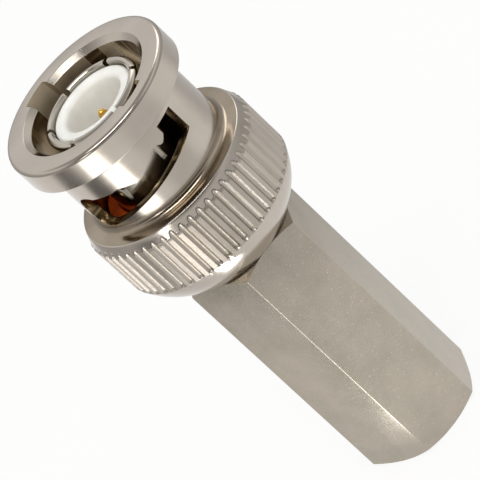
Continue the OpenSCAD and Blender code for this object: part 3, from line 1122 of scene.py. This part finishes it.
# the paper lies a hair below the plug, so that the two faces don't share a plane
REACH, DROP = 900, -0.02
paper_corners = [(-REACH, -REACH, DROP), (REACH, -REACH, DROP), (REACH, REACH, DROP), (-REACH, REACH, DROP)]
floor = mesh_object("floor", paper_corners, [(0, 1, 2, 3)])
floor.data.materials.append(backdrop_paper())
print("floor", 2 * REACH, "mm wide")

# %% [markdown]
# ## Room
#
# The room is white to the camera and a soft, dimmer light to the plug. What the metal sees of it
# is a lit wall that changes with height, and a dark side where the camera stands, with one pale
# strip low down. That dark side is what gives bright plate its black lines.

# %% Room as the metal sees it
DARK_SIDE = (-0.45, -0.89, 0.0)
# levels by the height of the direction, from the horizon (0) to straight up (1)
LIT_WALL = [(0.0, 0.5), (0.2, 0.6), (0.3, 0.66), (0.45, 0.92), (0.6, 0.96), (0.8, 0.45), (1.0, 0.4)]
DARK_WALL = [(0.0, 0.08), (0.16, 0.1), (0.23, 0.85), (0.32, 0.85), (0.39, 0.05), (1.0, 0.05)]
DARK_EDGE = [(0.25, 0.0), (0.6, 1.0)]


def walls(tree):
    """Colour of the room in each direction."""
    way = node(tree, "ShaderNodeTexCoord").outputs["Generated"]
    height = node(tree, "ShaderNodeSeparateXYZ", {0: way}).outputs["Z"]
    lit = ramp(tree, height, [(at, grey(level)) for at, level in LIT_WALL])
    dark = ramp(tree, height, [(at, grey(level)) for at, level in DARK_WALL])
    side = node(tree, "ShaderNodeVectorMath", {0: way, 1: DARK_SIDE}, operation="DOT_PRODUCT")
    share = ramp(tree, side.outputs["Value"], [(at, grey(level)) for at, level in DARK_EDGE])
    return node(tree, "ShaderNodeMix", {0: share, 6: lit, 7: dark}, data_type="RGBA").outputs[2]


def studio_room():
    """White to the camera, walls to the metal, and an even soft light to everything else."""
    world = bpy.data.worlds.new("studio")
    world.use_nodes = True
    tree = world.node_tree
    tree.nodes.clear()
    soft = node(tree, "ShaderNodeBackground", {"Color": linear("EAE9E7"), "Strength": 0.8})
    mirrored = node(tree, "ShaderNodeBackground", {"Color": walls(tree), "Strength": 1.0})
    white = node(tree, "ShaderNodeBackground", {"Color": grey(1.0), "Strength": 1.0})
    around = swap(tree, MIRRORED, soft, mirrored)
    everything = swap(tree, ["Is Camera Ray"], around, white)
    node(tree, "ShaderNodeOutputWorld", {"Surface": everything.outputs[0]})
    bpy.context.scene.world = world


studio_room()
print("room", bpy.context.scene.world.name)

# %% [markdown]
# ## Lamps
#
# A high key lamp in front draws the thin white lines along the rounded edges, and a side lamp
# fills the right. A small box on the left puts one spot on the bevel of the nut. A warm fill
# reaches through the window to the white plastic and the rubber, and the metal doesn't mirror it.
# Two panels just above the paper give the hot spots on the barrel and the collar.


# %% Lamps above
def soft_lamp(name, place_mm, size_mm, brightness, colour="FFFFFF", aim_mm=(0, 0, 20)):
    """Rectangular lamp; brightness 1 is as bright as white paper in full light."""
    light = bpy.data.lights.new(name, "AREA")
    light.shape = "RECTANGLE"
    light.size, light.size_y = size_mm[0] * MM, size_mm[1] * MM
    light.energy = brightness * math.pi * light.size * light.size_y
    light.color = linear(colour)[:3]
    made = bpy.data.objects.new(name, light)
    made.location = Vector(place_mm) * MM
    facing = (Vector(aim_mm) - Vector(place_mm)).normalized()
    made.rotation_euler = facing.to_track_quat("-Z", "Y").to_euler()
    made.visible_camera = False
    bpy.context.scene.collection.objects.link(made)
    return made


soft_lamp("key", (-60, -150, 320), (300, 70), 6.3)
soft_lamp("side", (190, 190, 230), (140, 140), 1.8)
soft_lamp("left_box", (-170, -106, 86), (40, 26), 6.0)
fill = soft_lamp("front_fill", (-50, -174, 58), (120, 60), 4.6, colour="FFF0DC")
fill.visible_glossy = False
print("lamps above", len(bpy.data.lights))


# %% Panels above the paper
PANEL_Z = 0.6


def low_panel(name, azimuth_deg, near_mm, far_mm, width_mm, brightness):
    """Panel that lies just above the floor and points up, along a direction from the plug."""
    swing = math.radians(azimuth_deg)
    middle = (near_mm + far_mm) / 2
    place = (middle * math.cos(swing), middle * math.sin(swing), PANEL_Z)
    made = soft_lamp(name, place, (far_mm - near_mm, width_mm), brightness)
    made.rotation_euler = (math.pi, 0, swing)
    return made


low_panel("low_panel_wide", -149, 46, 80, 34, 2.3)
low_panel("low_panel_narrow", -139, 8, 46, 7, 4.5)
print("lamps in all", len(bpy.data.lights))

# %% [markdown]
# ## Camera
#
# A long lens stands 320 mm away, in front and about 30 degrees up, and is rolled so that the plug
# lies across the frame from upper left to lower right. Three unit directions fix it: its right,
# its up and the way it looks.

# %% Camera
EYE_MM = Vector((-51.70, -268.72, 175.763))
RIGHT = Vector((0.601608, -0.483237, -0.636042))
UP = Vector((0.781665, 0.192149, 0.593362))
AHEAD = Vector((0.164520, 0.854144, -0.493327))
SENSOR_MM, LENS_MM = 36.0, 337.6545
camera_data = bpy.data.cameras.new("camera")
camera_data.sensor_width = SENSOR_MM
camera_data.lens = LENS_MM
camera_data.clip_start, camera_data.clip_end = 0.01, 10.0
camera = bpy.data.objects.new("camera", camera_data)
turn = Matrix((RIGHT, UP, -AHEAD)).transposed().to_4x4()
camera.matrix_world = Matrix.Translation(EYE_MM * MM) @ turn
bpy.context.scene.collection.objects.link(camera)
bpy.context.scene.camera = camera
bpy.context.scene.view_settings.view_transform = "Standard"
print("camera", round(EYE_MM.length), "mm from the foot of the plug")
